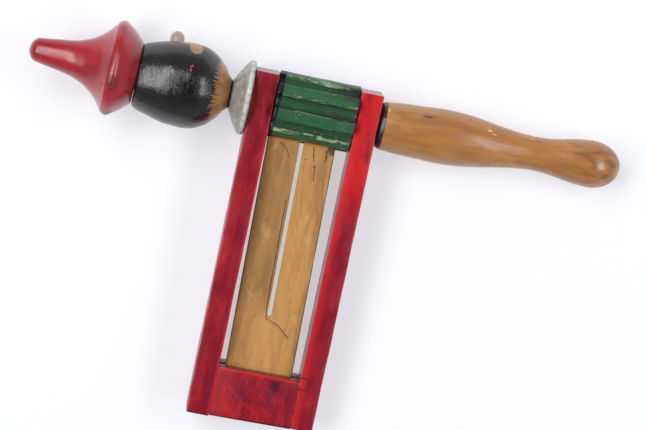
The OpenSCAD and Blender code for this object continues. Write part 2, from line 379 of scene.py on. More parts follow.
def frame_paint(name, shift=0):
    """Brushed crimson, cloudy and scuffed, one coat over the rails and the block alike."""
    c = colours()
    f = Finish(name, FRAME, coat=0.08, coat_roughness=0.25, specular=0.32)
    grain = f.noise(0.5, (1, 16, 1), detail=4)
    brush = f.noise(3.0, (1, 5, 1), detail=4, twist=0.8, shift=3 + shift)
    cloud = f.noise(12, (0.8, 2.0, 1), detail=4, rough=0.6, shift=5 + shift)
    colour = f.mix(f.band(cloud, 0.36, 0.66), c.rail_deep, c.rail_red)
    colour = f.lay(colour, c.rail_bright, f.band(brush, 0.52, 0.72), 0.45)
    colour = f.lay(colour, (0.20, 0.022, 0.055),
                   f.patches(0.53, 0.72, 6, (1, 2, 1), detail=4, shift=9 + shift), 0.4)
    colour = f.lay(colour, (0.10, 0.004, 0.012), f.band(grain, 0.56, 0.76), 0.30)
    specks = f.both(f.patches(0.66, 0.74, 0.7, shift=21), f.patches(0.5, 0.64, 9, shift=23))
    scratch = f.both(f.hairline(4.0, (1, 3, 1), 0.010, twist=1.0, shift=11 + shift),
                     f.patches(0.52, 0.64, 8, shift=2))
    marks = f.either(f.both(specks, 0.8), f.both(scratch, 0.65))
    colour = f.mix(marks, colour, (0.035, 0.006, 0.014))
    f.relief((grain, 0.04), (brush, 0.08), (scratch, -0.08), (f.noise(7, (1, 2, 1), shift=shift), 0.22))
    rough = f.band(f.add(cloud, f.times(brush, 0.5)), 0.55, 1.0, 0.28, 0.46)
    return f, colour, rough


def corner_ring(f, colour):
    """The dark ring and smear where the right rail meets the block."""
    off = f.vector("SUBTRACT", f.vector("MULTIPLY", f.spot, (1, 1, 0)), (22.6, -134.4, 0))
    away = f.gap(f.vector("LENGTH", off, output="Value"), 3.1)
    wander = f.drift(0.8, 2.0, shift=7)
    ring = f.both(f.band(f.add(away, wander), 0.62, 0.25), f.band(f.z, 9.0, 10.0))
    return f.lay(colour, (0.045, 0.02, 0.028), ring, 0.85)


def rail_finish(name, low, high, inner, shift):
    """A rail's coat: brighter at its inner edge, with a dark line beside it, painted shade on its lilac-grey sides
    and towards its upper end, painted light on its upper end face and a painted highlight along its outer edge.
    """
    f, colour, rough = frame_paint(name, shift)
    low, high = low / MM, high / MM
    inner_x, outer_x = (high.x, low.x) if inner > 0 else (low.x, high.x)
    wobble = f.drift(1.6, 7, (1, 4, 1), shift=shift + 1)
    from_inner = f.add(f.times(f.less(inner_x, f.x), inner), wobble)
    from_outer = f.add(f.times(f.less(f.x, outer_x), inner), wobble)
    fresh = f.band(from_inner, 5.0, 0.8) if inner < 0 else f.band(from_inner, 1.5, 0.6)
    colour = f.lay(colour, colours().rail_bright, fresh, 0.6)
    lined = f.both(f.band(f.gap(from_inner if inner > 0 else from_outer, 2.3), 0.5, 0.15),
                   f.band(f.y, -35, -60))
    colour = f.lay(colour, (0.075, 0.02, 0.06), lined, 0.6)
    if inner < 0:
        upper = f.both(f.band(f.y, -52, -24), f.patches(0.30, 0.46, 7, (1, 3, 1), shift=shift + 6))
        colour = f.lay(colour, colours().rail_bright, upper, 0.8)
    # Painted shadow: dark red patches towards the rails' upper ends, strong on the left rail and faint on the
    # right.
    top = f.both(f.band(f.y, -28, -6), f.patches(0.36, 0.54, 6, (1, 3, 1), shift=shift + 4))
    colour = f.lay(colour, (0.12, 0.004, 0.016), top, 0.65 if inner > 0 else 0.15)
    # Painted highlight: a pinkish line along each rail's outer edge.
    colour = f.lay(colour, (0.52, 0.09, 0.13), f.band(from_outer, 0.9, 0.3),
                   f.patches(0.45, 0.6, 5, (1, 3, 1), shift=8), 0.5)
    # Painted shade: the side faces below the front, lilac-grey with a dark middle line on the inner side and
    # darker red on the outer side.
    inner_side = f.band(f.times(f.less(inner_x, f.x), inner), 0.45, 0.15)
    outer_side = f.band(f.times(f.less(f.x, outer_x), inner), 0.45, 0.15)
    deep = f.band(f.z, high.z - 0.7, high.z - 1.2)
    lilac = f.mix(f.patches(0.4, 0.65, 2.0, (1, 9, 1), shift=shift), (0.36, 0.20, 0.27), (0.24, 0.08, 0.12))
    lilac = f.mix(f.band(f.math("ABSOLUTE", f.add(f.z, f.noise(3, (1, 6, 1)))), 1.1, 0.7), lilac,
                  (0.04, 0.02, 0.03))
    colour = f.lay(colour, lilac, inner_side, deep, 0.85)
    colour = f.lay(colour, (0.24, 0.018, 0.045), outer_side, deep, 0.6)
    # Painted light: the upper end faces in a pale lilac, after the painted shade of the sides.
    ends = f.both(f.band(f.y, high.y - 0.5, high.y - 0.2), deep)
    colour = f.lay(colour, (0.47, 0.22, 0.30), ends, 0.85)
    foot = f.band(f.add(f.y, f.noise(2.0, (1.5, 1, 1))), low.y + 1.5, low.y + 1.1)
    colour = f.lay(colour, (0.025, 0.010, 0.014), foot, 0.9)
    if inner < 0:
        colour = corner_ring(f, colour)
    return f.done(colour, rough)


def block_finish(low, high):
    """The same coat on the block, scuffed across its face and dark along its lower edge."""
    f, colour, rough = frame_paint("block_red", 17)
    low, high = low / MM, high / MM
    askew = f.slanted(38)
    greyed = f.both(f.patches(0.46, 0.70, 1.5, (7, 1, 1), detail=3, at=askew, shift=6),
                    f.blot((0.5, -145), (14, 6.5), ragged=1.4, shift=5))
    colour = f.lay(colour, (0.20, 0.055, 0.105), greyed, 0.55)
    dull = f.both(f.patches(0.46, 0.66, 2.6, (5, 1, 1), detail=3, at=askew, shift=16),
                  f.blot((3, -142.5), (19, 9), ragged=1.0, shift=8))
    colour = f.lay(colour, (0.13, 0.010, 0.035), dull, 0.5)
    fresh = f.both(f.patches(0.5, 0.66, 5, (2, 1, 1), at=askew, shift=25), f.band(f.y, -147, -152))
    colour = f.lay(colour, (0.50, 0.012, 0.018), fresh, 0.7)
    lip = f.both(f.band(f.y, high.y - 1.1, high.y - 0.5), f.band(f.z, high.z - 1.2, high.z - 0.6))
    colour = f.lay(colour, colours().rail_bright, lip, 0.8)
    inside = f.both(f.band(f.y, high.y - 0.5, high.y - 0.2), f.band(f.z, high.z - 0.6, high.z - 1.0))
    colour = f.lay(colour, (0.20, 0.055, 0.03), inside, 0.8)
    smudge = f.both(f.blot((9.4, -138.8), (3.0, 3.4), ragged=2.4, shift=4),
                    f.patches(0.3, 0.5, 1.4, detail=4, shift=9))
    colour = f.lay(colour, (0.05, 0.014, 0.026), smudge, 0.8)
    foot = f.band(f.add(f.y, f.times(f.x, -0.04)), low.y + 1.5, low.y + 1.1)
    colour = f.lay(colour, (0.025, 0.010, 0.014), foot, 0.9)
    return f.done(corner_ring(f, colour), rough)


def tongue_finish():
    """Bare plank, its left reed browner in painted shade, split and blackened where it works, with painted light
    about the slit's closed end and a painted highlight beside the crack.
    """
    c = colours()
    tip_y = extent("left_reed", TONGUE)[1].y / MM
    f = Finish("tongue_plank", TONGUE, specular=0.4)
    grain = f.noise(0.7, (1, 20, 1), detail=5, rough=0.6)
    bands = f.noise(5.0, (1, 7, 1), detail=4, twist=0.8, shift=3)
    stain = f.noise(8, (1, 2, 1), detail=4, rough=0.6, shift=8)
    # Painted shade: the left reed laid darker brown along its free length.
    left = f.band(f.add(f.x, f.times(f.noise(6, (1, 4, 1)), 3)), 2.6, 0.2)
    free = f.band(f.y, -2.0, 14.0)
    colour = f.mix(f.band(bands, 0.36, 0.66), c.tongue, (0.36, 0.18, 0.055))
    colour = f.lay(colour, (0.25, 0.125, 0.05), left, free, 0.5)
    colour = f.lay(colour, (0.20, 0.095, 0.035), f.band(grain, 0.52, 0.74), 0.35)
    colour = f.lay(colour, (0.27, 0.145, 0.06), f.band(stain, 0.52, 0.68), 0.45)
    colour = f.lay(colour, (0.62, 0.38, 0.15), f.band(stain, 0.44, 0.32), 0.4)
    # Painted light: a paler patch across the middle of the tongue about the slit's closed end and the root.
    glow = f.both(f.band(f.gap(f.x, 0.5), 13.0, 4.0), f.band(f.y, 16.0, -6.0))
    colour = f.lay(colour, (0.66, 0.36, 0.12), glow, 0.45)
    right = f.both(f.band(f.x, 0.5, 3.0), f.band(f.x, 15.5, 9.0), free)
    colour = f.lay(colour, (0.64, 0.34, 0.11), right, 0.2)
    tip = f.band(f.add(f.y, f.times(f.noise(2.0), 3)), tip_y - 2.0, tip_y + 1.4)
    colour = f.lay(colour, (0.52, 0.24, 0.05), tip, 0.7)
    foot = f.band(f.add(f.y, f.noise(1.5)), -27.0, -28.2)
    colour = f.lay(colour, (0.50, 0.12, 0.03), foot, 0.85)
    crack = f.stroke([(-2.4, 60), (-2.1, 30), (-2.0, 6), (-1.2, -0.9), (0.6, -1.6), (5.5, -3.6),
                      (11.5, -9.0)], 0.3, 0.16)
    ridge_and_highlight = f.stroke([(-3.0, 58), (-2.8, 30), (-2.7, 6), (-1.8, -1.8), (0.6, -2.4), (5.5, -4.4),
                      (11.5, -9.8)], 0.4, 0.14)
    dents = f.both(f.patches(0.66, 0.72, 1.1, (1, 1.5, 1), shift=14), f.patches(0.5, 0.6, 11, shift=15))
    splits = f.either(
        f.stroke([(-11.0, tip_y - 1.8), (-7.2, tip_y - 4.3), (-4.6, tip_y - 8.8)], 0.26, 0.35, shift=2),
        f.stroke([(6.2, tip_y - 0.8), (6.9, tip_y - 5.8), (8.6, tip_y - 11.8), (9.2, tip_y - 18)], 0.28,
                 0.35, shift=3),
        f.stroke([(13.0, tip_y - 2.8), (13.6, tip_y - 6.3), (12.9, tip_y - 8.3)], 0.55, 0.5, shift=5))
    corner = f.blot((16.6, tip_y - 0.6), (3.6, 4.2), ragged=1.1, shift=6)
    rim = f.band(f.math("ABSOLUTE", f.x), 16.4, 16.8)
    colour = f.lay(colour, (0.035, 0.022, 0.015), rim, f.patches(0.3, 0.5, 4, (1, 4, 1), shift=2), 0.9)
    colour = f.mix(f.either(f.both(splits, 0.75), f.both(corner, 0.85), f.both(dents, 0.6)), colour,
                   (0.07, 0.035, 0.016))
    colour = f.lay(colour, (0.11, 0.05, 0.02), crack, 0.7)
    # Painted highlight: a pale line along the raised ridge beside the crack.
    colour = f.lay(colour, (0.70, 0.46, 0.20), ridge_and_highlight, 0.35)
    rough = f.band(grain, 0.3, 0.8, 0.36, 0.6)
    f.relief((grain, -0.04), (bands, 0.12), (crack, -0.4), (ridge_and_highlight, 0.3), (splits, -0.3), (dents, -0.3),
             (stain, 0.25))
    return f.done(colour, rough)


def cog_finish(reach, low, high):
    """Green paint rubbed pale along the teeth's edges, dirty at the right end, with painted shade deep in the
    grooves and under each edge and painted shadow in black bands at its ends.
    """
    c = colours()
    f = Finish("cog_green", SPINDLE, coat=0.0, specular=0.5)
    cloud = f.noise(6, (2.2, 1, 1), detail=4, rough=0.6)
    fine = f.noise(0.8, (6, 1, 1), detail=4, shift=5)
    out = f.radius()
    turned_from_groove = f.less(f.around(), 90 - math.degrees(groove_phase()))
    half_pitch = 180 / TEETH
    off = f.math("WRAP", turned_from_groove, half_pitch, -half_pitch)
    to_edge = f.times(f.less(f.math("ABSOLUTE", off), math.degrees(GROOVE_HALF)), reach * math.pi / 180)
    ragged = f.drift(1.3, 1.5, (4, 1, 1), shift=2)
    line = f.band(f.math("ABSOLUTE", f.add(to_edge, ragged)), 0.30, 0.08)
    patchy = f.patches(0.44, 0.58, 2.0, (2.6, 1, 1), detail=4, shift=4)
    colour = f.mix(f.band(cloud, 0.36, 0.66), c.green, (0.020, 0.085, 0.035))
    colour = f.lay(colour, (0.075, 0.16, 0.11), f.patches(0.5, 0.7, 3, (3, 1, 1), shift=9), 0.5)
    # Painted shade: darker deep in the grooves.
    colour = f.lay(colour, (0.012, 0.045, 0.020), f.band(out, reach - 1.2, reach - 3.4), 0.55)
    # Painted shadow: a dark line just under each land's edge.
    under = f.band(f.math("ABSOLUTE", f.add(to_edge, 0.7)), 0.5, 0.2)
    colour = f.lay(colour, (0.010, 0.022, 0.013), under, 0.6)
    colour = f.lay(colour, (0.42, 0.50, 0.28), line, patchy, 0.85)
    brown = f.both(line, f.patches(0.54, 0.64, 2.5, (2, 1, 1), shift=24))
    colour = f.lay(colour, (0.22, 0.12, 0.10), brown, 0.7)
    end = f.band(f.add(f.x, f.drift(22, 4, shift=1)), high.x / MM - 3, high.x / MM + 2)
    colour = f.lay(colour, (0.040, 0.042, 0.050), end, 0.75)
    marks = f.both(f.hairline(2.6, (5, 1, 1), 0.02, shift=7), f.patches(0.5, 0.62, 6, shift=3))
    colour = f.lay(colour, (0.016, 0.018, 0.016), marks, 0.8)
    chips = f.both(f.patches(0.64, 0.7, 0.9, (1.5, 1, 1), shift=12), f.patches(0.5, 0.6, 6, shift=15))
    colour = f.lay(colour, (0.36, 0.42, 0.30), chips, 0.7)
    scuffs = f.either(
        f.both(f.band(f.x, 4, 17), f.band(f.y, 7.5, 10.5),
               f.patches(0.36, 0.5, 2.0, (2, 1, 1), detail=4, shift=41)),
        f.both(f.band(f.x, -4, 9), f.band(f.gap(f.y, 0.5), 1.9, 0.9),
               f.patches(0.4, 0.54, 1.6, (3, 1, 1), detail=4, shift=43)))
    colour = f.lay(colour, (0.026, 0.026, 0.032), scuffs, 0.8)
    # Painted shadow: black bands at both ends of the cog, where it stands close to the rails.
    side = f.less(f.x, f.times(f.y, 0.05))
    black = f.either(
        f.band(side, low.x + 2.5, low.x + 1.9),
        f.band(f.x, high.x / MM - 0.5, high.x / MM - 0.2))
    colour = f.mix(black, colour, (0.004, 0.004, 0.004))
    f.relief((fine, 0.10), (cloud, 0.25), (marks, -0.15), (line, 0.05))
    return f.done(colour, f.band(cloud, 0.3, 0.7, 0.28, 0.42))


def handle_finish(low):
    """Varnished wood, brown in the grain, with a blackened inner end, a few chips and scratches."""
    c = colours()
    f = Finish("handle_varnish", SPINDLE, coat=0.1, coat_roughness=0.25, specular=0.8)
    start = low.x / MM + SHOULDER
    flat = f.unrolled(12)
    grain = f.noise(0.7, (24, 1, 1), detail=5, rough=0.6)
    bands = f.noise(4.0, (9, 1, 1), detail=3, twist=0.7, shift=5)
    colour = f.mix(f.both(f.band(bands, 0.36, 0.66), 0.7), c.handle, (0.32, 0.125, 0.032))
    colour = f.lay(colour, (0.22, 0.08, 0.022), f.band(grain, 0.5, 0.72), 0.28)
    colour = f.lay(colour, (0.60, 0.30, 0.09), f.patches(0.5, 0.68, 12, (2, 1, 1), shift=9), 0.5)
    knot = f.blot((start + 20.5, 9.2), (3.4, 0.7), ragged=0.9, spot=flat, shift=3)
    chips = f.either(
        f.blot((start + 52.0, 9.6), (1.5, 0.9), ragged=0.8, spot=flat),
        f.blot((start + 54.4, 8.2), (1.5, 0.6), ragged=0.9, spot=flat, shift=4),
        f.blot((start + 1.0, 9.6), (0.8, 1.2), ragged=0.8, spot=flat, shift=7))
    colour = f.lay(colour, (0.13, 0.035, 0.012), knot, 0.8)
    colour = f.lay(colour, (0.86, 0.47, 0.12), chips, 0.9)
    scratch = f.both(f.hairline(2.2, (4, 1, 1), 0.008, shift=14), f.patches(0.56, 0.66, 9, shift=17))
    colour = f.lay(colour, (0.06, 0.03, 0.015), scratch, 0.7)
    worn = f.either(
        f.stroke([(start + 68.5, 13.5), (start + 74.5, 12.8)], 0.5, 0.5, spot=flat, shift=5),
        f.stroke([(start + 80.5, 15.0), (start + 84.5, 15.6)], 0.4, 0.5, spot=flat, shift=8))
    colour = f.lay(colour, (0.66, 0.34, 0.10), worn, 0.8)
    fleck = f.stroke([(start + 70.0, 12.3), (start + 73.6, 12.0)], 0.45, 0.4, spot=flat, shift=9)
    colour = f.lay(colour, (0.22, 0.015, 0.02), fleck, 0.85)
    aged = f.both(f.band(f.x, start + 86, start + 100),
                  f.patches(0.48, 0.64, 3.0, (3, 1, 1), detail=4, shift=19))
    colour = f.lay(colour, (0.16, 0.055, 0.018), aged, 0.55)
    black = f.band(f.add(f.x, f.times(f.noise(1.5), 0.3)), start + 0.4, start + 0.1)
    colour = f.mix(black, colour, (0.008, 0.006, 0.006))
    turning = f.noise(0.4, (1, 40, 40), detail=2, shift=27)
    f.relief((turning, 0.06), (bands, 0.08), (f.noise(6, (1.6, 1, 1), shift=2), 0.22), (scratch, -0.1),
             (chips, -0.25))
    return f.done(colour, f.band(bands, 0.3, 0.7, 0.24, 0.34))


def collar_finish(low):
    """Grey-white paint with thin dirty rings and brown stains, a painted highlight round the rim and painted shade
    where it meets the head.
    """
    c = colours()
    f = Finish("collar_grey", SPINDLE, coat=0.35, coat_roughness=0.15)
    out = f.radius()
    reach = girth("collar", SPINDLE) / MM
    flat = f.node("ShaderNodeCombineXYZ")
    f.join(f.times(f.around(), 0.05), flat.inputs[0])
    f.join(f.times(out, 0.55), flat.inputs[1])
    rings = f.noise(1.0, detail=4, twist=0.6, at=flat.outputs[0])
    line = f.band(f.gap(rings, 0.5), 0.022, 0.006)
    stain = f.noise(3.4, detail=4, rough=0.6, shift=4)
    colour = f.mix(f.band(rings, 0.36, 0.66), c.collar, (0.30, 0.28, 0.25))
    colour = f.lay(colour, (0.27, 0.19, 0.10), f.band(stain, 0.54, 0.7), 0.6)
    colour = f.lay(colour, (0.58, 0.56, 0.53), f.band(stain, 0.46, 0.32), 0.5)
    colour = f.lay(colour, (0.12, 0.10, 0.085), line, f.patches(0.45, 0.6, 6, shift=5), 0.7)
    # Painted highlight: a pale band round the collar's rim.
    rim = f.band(f.add(out, f.times(f.noise(2.0, shift=7), 1.4)), reach + 0.25, reach + 0.75)
    colour = f.lay(colour, (0.72, 0.71, 0.68), rim, 0.7)
    # Painted shade: a dark band where the collar meets the head.
    neck = f.band(f.x, low.x / MM + 1.1, low.x / MM + 0.2)
    colour = f.lay(colour, (0.02, 0.016, 0.014), neck, 0.9)
    f.relief((rings, 0.12), (line, -0.1), (stain, 0.25))
    return f.done(colour, f.band(stain, 0.3, 0.7, 0.28, 0.5))


def head_finish(low, high):
    """Black hair brushed on over ochre skin, with a plain doll's face under the nose peg's side."""
    c = colours()
    f = Finish("head_paint", SPINDLE, coat=0.0, specular=0.75)
    reach = girth("head", SPINDLE) / MM
    neck, crown = high.x / MM, low.x / MM
    middle = 90 + math.degrees(sizes().nose_dip)
    turned_from_nose = f.less(f.around(), middle)
    wrapped = f.math("WRAP", turned_from_nose, 180.0, -180.0)
    flat_node = f.node("ShaderNodeCombineXYZ")
    f.join(f.x, flat_node.inputs[0])
    f.join(f.times(wrapped, reach * math.pi / 180), flat_node.inputs[1])
    flat = flat_node.outputs[0]
    nose_x = crown + NOSE_SHARE * (neck - crown)

    def twins(along, out, reach, ragged, shifts=(0, 0)):
        """The same patch on both sides of the nose."""
        return f.either(*(f.blot((nose_x + along, side * out), reach, ragged, flat, shift)
                          for side, shift in zip((-1, 1), shifts)))

    bristle = f.noise(1.0, (5, 1, 1), detail=1, at=flat)
    hairline = f.add(f.x, f.times(f.less(bristle, 0.5), 11.0))
    nape = f.band(hairline, neck - 8.5, neck - 8.1)
    face = f.blot((nose_x + 6.5, 0), (16, 12.5), ragged=0.16, spot=flat)
    ears = twins(10.1, 14.6, (3.8, 6.4), 0.7, (2, 5))
    bare = f.either(nape, face, ears)
    cloud = f.noise(6, detail=3)
    skin = f.mix(f.band(cloud, 0.4, 0.65), c.skin, (0.29, 0.115, 0.03))
    skin = f.lay(skin, (0.52, 0.29, 0.11), f.patches(0.5, 0.7, 0.9, (5, 1, 1), shift=3), 0.4)
    cheeks = twins(6.5, 7.5, (3.2, 3.2), 0.1)
    skin = f.lay(skin, (0.55, 0.09, 0.04), cheeks, 0.5)
    whites = twins(-1.5, 6.0, (1.9, 2.6), 0.08)
    pupils = twins(-1.4, 5.8, (1.25, 1.25), 0.05)
    arch = ((-4.6, 8.6), (-5.6, 6.0), (-5.0, 3.4))
    brows = f.either(*(f.stroke([(nose_x + x, side * y) for x, y in arch], 0.5, 0.06, spot=flat)
                       for side in (-1, 1)))
    smile = ((10.4, -4.4), (11.7, -2.0), (12.0, 0), (11.7, 2.0), (10.4, 4.4))
    mouth = f.stroke([(nose_x + x, y) for x, y in smile], 0.75, 0.06, spot=flat)
    skin = f.mix(whites, skin, (0.62, 0.58, 0.50))
    skin = f.mix(f.either(pupils, brows), skin, (0.012, 0.010, 0.010))
    skin = f.mix(mouth, skin, (0.38, 0.015, 0.015))
    swirl = f.noise(1.1, (1.2, 5, 1), detail=5, twist=2.2, at=flat, shift=6)
    dust = f.noise(8, detail=3, shift=8)
    hair = f.mix(f.both(f.band(swirl, 0.5, 0.72), f.band(dust, 0.45, 0.65), 0.35), c.hair,
                 (0.035, 0.035, 0.04))
    flecks = f.either(
        f.stroke([(nose_x + 9.6, -28.0), (nose_x + 8.8, -29.4), (nose_x + 9.4, -30.6)], 0.5, 0.4, spot=flat,
                 shift=3),
        f.blot((nose_x - 0.6, -30.6), (0.4, 0.9), ragged=0.7, spot=flat, shift=9))
    hair = f.lay(hair, (0.50, 0.06, 0.07), flecks, 0.9)
    # Painted shade: a black band round the crown, where the hat sits on the head.
    hair = f.mix(f.band(f.x, crown + 0.9, crown + 0.3), hair, (0.004, 0.004, 0.004))
    colour = f.mix(bare, hair, skin)
    # Painted shade: a dark band at the neck, where the head meets the collar.
    colour = f.mix(f.band(f.x, neck - 1.0, neck - 0.4), colour, (0.006, 0.005, 0.005))
    rough = f.band(swirl, 0.35, 0.7, 0.18, 0.30)
    f.relief((swirl, 0.11), (f.noise(3.5, shift=4), 0.12), (bare, -0.10), (f.either(brows, mouth), 0.06))
    return f.done(colour, rough)


def hat_finish(high):
    """Thick crimson gloss, chipped and sooty on one side of the brim, with painted shade towards its base where it
    meets the head.
    """
    c = colours()
    f = Finish("hat_gloss", SPINDLE, coat=0.8, coat_roughness=0.27, specular=0.3)
    base = high.x / MM
    flat = f.unrolled(22)
    cloud = f.noise(13, (1.5, 1, 1), detail=3)
    fine = f.noise(1.8, (3, 1, 1), detail=4, shift=2)
    colour = f.mix(f.band(cloud, 0.40, 0.62), c.hat_red, (0.30, 0.006, 0.016))
    colour = f.lay(colour, (0.50, 0.012, 0.016), f.patches(0.52, 0.7, 7, shift=9), 0.55)
    soot = f.either(
        f.both(f.blot((base - 11.2, -5.0), (3.6, 4.4), ragged=1.8, spot=flat, shift=3),
               f.patches(0.42, 0.56, 1.3, detail=4, shift=33)),
        f.blot((base - 11.0, -26.0), (3.0, 3.4), ragged=1.4, spot=flat, shift=6))
    colour = f.lay(colour, (0.05, 0.004, 0.010), soot, 0.8)
    dots = f.both(f.patches(0.68, 0.74, 0.9, shift=12), f.band(cloud, 0.45, 0.6))
    colour = f.lay(colour, (0.10, 0.006, 0.012), dots, 0.7)
    # Painted shade: darker towards the hat's base, where its brim meets the head.
    under = f.band(f.x, base - 5.5, base - 1.0)
    colour = f.lay(colour, (0.16, 0.004, 0.010), under, 0.55)
    f.relief((fine, 0.04), (f.noise(5, (1.6, 1, 1), shift=7), 0.16), (soot, -0.12))
    return f.done(colour, f.band(f.either(soot, fine), 0.45, 0.9, 0.26, 0.5))


def nose_finish():
    """The face's ochre on a small peg, greyed in patches."""
    f = Finish("nose_paint", SPINDLE, coat=0.3, coat_roughness=0.2)
    colour = f.mix(f.patches(0.38, 0.62, 2.2, detail=4), (0.40, 0.30, 0.25), (0.40, 0.34, 0.36))
    f.relief((f.noise(1.2, detail=3), 0.08))
    return f.done(colour, f.band(f.noise(1.5, shift=3), 0.4, 0.7, 0.3, 0.5))


def dowel_finish():
    """Plain darkened dowel with its grain along the spindle."""
    c = colours()
    f = Finish("dowel_wood", SPINDLE, specular=0.35)
    grain = f.noise(0.5, (20, 1, 1), detail=4)
    colour = f.mix(f.band(grain, 0.35, 0.65), c.dowel, (0.09, 0.045, 0.02))
    colour = f.lay(colour, (0.30, 0.18, 0.09), f.patches(0.5, 0.65, 4, (2, 1, 1), shift=4), 0.6)
    f.relief((grain, 0.06))
    return f.done(colour, f.band(grain, 0.3, 0.7, 0.5, 0.7))


def steel_finish():
    """Dull nail heads with brown specks and a trace of the frame's red."""
    c = colours()
    f = Finish("nail_steel", FRAME)
    f.shader.inputs["Metallic"].default_value = 0.85
    rust = f.noise(0.8, detail=4)
    colour = f.mix(f.band(rust, 0.5, 0.65), c.steel, (0.12, 0.06, 0.035))
    colour = f.lay(colour, (0.30, 0.012, 0.02), f.patches(0.5, 0.6, 2.0, shift=5), 0.8)
    f.relief((rust, 0.06))
    return f.done(colour, f.band(rust, 0.4, 0.7, 0.35, 0.65))


# Working a piece by hand


def clear_selection():
    if bpy.context.object and bpy.context.object.mode != "OBJECT":
        bpy.ops.object.mode_set(mode="OBJECT")
    bpy.ops.object.select_all(action="DESELECT")


def begin(name):
    """Names the primitive that was just added and bakes its place into its mesh."""
    piece = bpy.context.object
    piece.name = piece.data.name = name
    bpy.ops.object.transform_apply(location=True, rotation=True, scale=True)
    return piece


def pick_only(piece):
    clear_selection()
    piece.select_set(True)
    bpy.context.view_layer.objects.active = piece


def apply(piece, kind, name, **settings):
    pick_only(piece)
    modifier = piece.modifiers.new(name, kind)
    for key, value in settings.items():
        setattr(modifier, key, value)
    bpy.ops.object.modifier_apply(modifier=modifier.name)


def ease_edges(piece, width, segments=3, angle=35):
    apply(piece, "BEVEL", "Eased edges", width=width, segments=segments, limit_method="ANGLE",
          angle_limit=math.radians(angle), use_clamp_overlap=True)


def cut_away(piece, cutter):
    """Bores or saws a piece with another solid, which is then put away."""
    apply(piece, "BOOLEAN", "Cut", operation="DIFFERENCE", object=cutter, solver="EXACT")
    bpy.data.objects.remove(cutter)


def make_uneven(piece, size, depth):
    """Leaves the surface a little off true, as hand tools and handling do."""
    grain = bpy.data.textures.new(piece.name + "_unevenness", "CLOUDS")
    grain.noise_scale = size
    grain.noise_depth = 2
    apply(piece, "DISPLACE", "Unevenness", texture=grain, texture_coords="LOCAL", strength=2 * depth,
          mid_level=0.5)
    bpy.data.textures.remove(grain)


def close_up():
    """Merges doubled points and turns every face outwards, in edit mode."""
    bpy.ops.mesh.select_all(action="SELECT")
    bpy.ops.mesh.remove_doubles(threshold=0.002 * MM)
    bpy.ops.mesh.normals_make_consistent(inside=False)
    bpy.ops.object.mode_set(mode="OBJECT")


def traced(name, points):
    """A new piece begun as a line, drawn point by point and left picked out in edit mode."""
    clear_selection()
    bpy.ops.mesh.primitive_plane_add(size=MM, location=points[0])
    piece = begin(name)
    bpy.ops.object.mode_set(mode="EDIT")
    bpy.ops.mesh.merge(type="CENTER")
    for here, there in zip(points, points[1:]):
        step = tuple(b - a for a, b in zip(here, there))
        bpy.ops.mesh.extrude_vertices_move(TRANSFORM_OT_translate={"value": step})
    bpy.ops.mesh.select_all(action="SELECT")
    return piece


def turned(name, outline, steps=96):
    """A piece off the lathe: its outline is drawn point by point, then spun round the spindle."""
    piece = traced(name, [(p[0], 0, p[1]) for p in outline])
    bpy.ops.mesh.spin(steps=steps, angle=TURN, center=(0, 0, 0), axis=(1, 0, 0))
    close_up()
    return piece


def smooth_outline(stations, steps=5):
    """A smooth curve through the stations of an outline."""
    last = len(stations) - 1
    points = [Vector(s) for s in stations]
    curve = []
    for i in range(last):
        a, b, c, d = (points[max(0, min(last, i + k))] for k in (-1, 0, 1, 2))
        for s in range(steps):
            t = s / steps
            curve.append(0.5 * (2 * b + (c - a) * t + (2 * a - 5 * b + 4 * c - d) * t * t
                                + (3 * b - a - 3 * c + d) * t ** 3))
    return curve + [points[last]]


def rounded_end(start, end, radius, steps=9):
    """A quarter of an ellipse from the outline's last radius down to the spindle's line."""
    quarter = [math.pi / 2 * k / steps for k in range(1, steps + 1)]
    arc = [Vector((start + (end - start) * math.sin(a), radius * math.cos(a))) for a in quarter]
    arc[-1].y = 0
    return arc


def rounded_corner(centre, radius, start, end, steps=4):
    """Points of an arc about a centre, between two angles in degrees."""
    angles = [math.radians(start + (end - start) * k / steps) for k in range(steps + 1)]
    return [Vector((centre[0] + radius * math.cos(a), centre[1] + radius * math.sin(a))) for a in angles]


def board(name, low, high, cuts):
    """A bar of wood between two corners, sliced across its length so that it can be worked."""
    clear_selection()
    bpy.ops.mesh.primitive_cube_add(size=1, location=(low + high) / 2, scale=high - low)
    piece = begin(name)
    bpy.ops.object.mode_set(mode="EDIT")
    for k in range(1, cuts):
        bpy.ops.mesh.select_all(action="SELECT")
        place = low.y + (high.y - low.y) * k / cuts
        bpy.ops.mesh.bisect(plane_co=(0, place, 0), plane_no=(0, 1, 0))
    bpy.ops.object.mode_set(mode="OBJECT")
    return piece


def bar_along(name, start, end, radius, sides=48):
    """A round bar along the spindle's direction."""
    clear_selection()
    bpy.ops.mesh.primitive_cylinder_add(
        vertices=sides, radius=radius, depth=end - start, location=((start + end) / 2, 0, 0),
        rotation=(0, math.pi / 2, 0))
    return begin(name)


def shift_points(piece, chosen, step):
    """Moves the points that a test picks out."""
    pick_only(piece)
    bpy.ops.object.mode_set(mode="EDIT")
    bpy.ops.mesh.select_all(action="DESELECT")
    bpy.ops.object.mode_set(mode="OBJECT")
    for v in piece.data.vertices:
        v.select = chosen(v.co)
    bpy.ops.object.mode_set(mode="EDIT")
    bpy.ops.transform.translate(value=step)
    bpy.ops.object.mode_set(mode="OBJECT")


